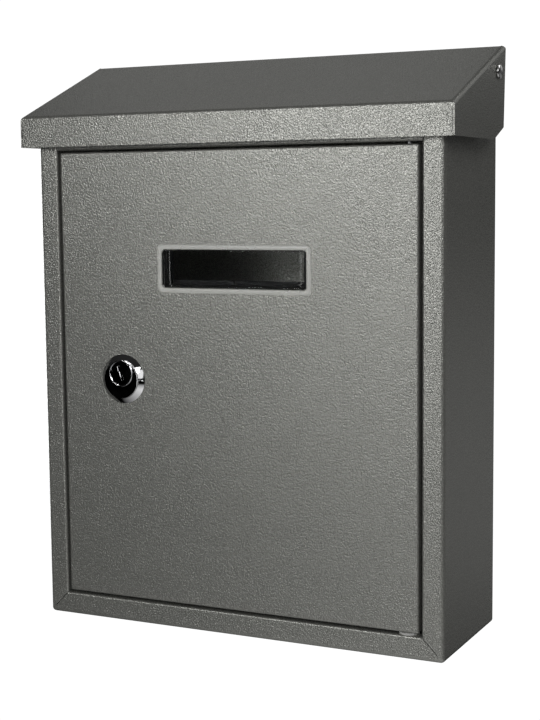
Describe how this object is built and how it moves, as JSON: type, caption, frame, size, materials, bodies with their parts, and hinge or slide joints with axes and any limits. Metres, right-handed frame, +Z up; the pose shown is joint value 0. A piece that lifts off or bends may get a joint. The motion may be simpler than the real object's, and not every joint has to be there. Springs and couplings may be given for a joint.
{
  "type": "wall mounted mailbox",
  "caption": "Wall mounted sheet-steel mailbox with a sloped lifting lid, a side-hung front door with a clear label window, and a round cam lock.",
  "frame": {"origin": "centre of the rectangle of wall holes, on the rear face that lies against the wall", "axes": "+X to the viewer's right, +Y into the wall, +Z up; the door faces -Y"},
  "size_m": [0.2646, 0.0905, 0.3234],
  "materials": {
    "coat": "grey-green metallic hammertone powder coat",
    "rivet_steel": "bright rolled rivet head",
    "zinc_steel": "zinc plated",
    "nylon": "natural nylon",
    "clear_plastic": "clear moulded plastic",
    "chrome": "polished chrome on die-cast zinc",
    "brass": "stamped brass"
  },
  "bodies": {
    "casing": {"body_wrap": "coat", "back_panel": "coat", "top_rail": "coat", "lid_pivot_rivet_right": "rivet_steel", "lid_pivot_rivet_left": "rivet_steel", "lid_pivot_spacer_right": "nylon", "lid_pivot_spacer_left": "nylon", "door_pin_lower": "zinc_steel", "door_pin_upper": "zinc_steel", "door_washer": "nylon"},
    "lid": {"lid_panel": "coat"},
    "door": {"door_panel": "coat", "window_lens": "clear_plastic", "label_holder": "clear_plastic", "lock_rosette": "chrome", "lock_housing": "chrome", "lock_washer": "zinc_steel", "lock_nut": "zinc_steel", "driver_pins": "brass"},
    "plug": {"lock_plug": "chrome", "key_pins": "brass", "lock_cam": "zinc_steel", "cam_washer": "zinc_steel", "cam_screw": "zinc_steel"}
  },
  "joints": [
    {"name": "lid_hinge", "type": "hinge", "parent": "casing", "child": "lid", "pos_m": [0, -0.0193, 0.1587], "axis": [-1, 0, 0], "range_deg": [0, 105]},
    {"name": "door_hinge", "type": "hinge", "parent": "casing", "child": "door", "pos_m": [0.1017, -0.078, -0.008], "axis": [0, 0, 1], "range_deg": [0, 105]},
    {"name": "lock_turn", "type": "hinge", "parent": "door", "child": "plug", "pos_m": [-0.0689, -0.0785, -0.0051], "axis": [0, 1, 0], "range_deg": [0, 90]}
  ]
}
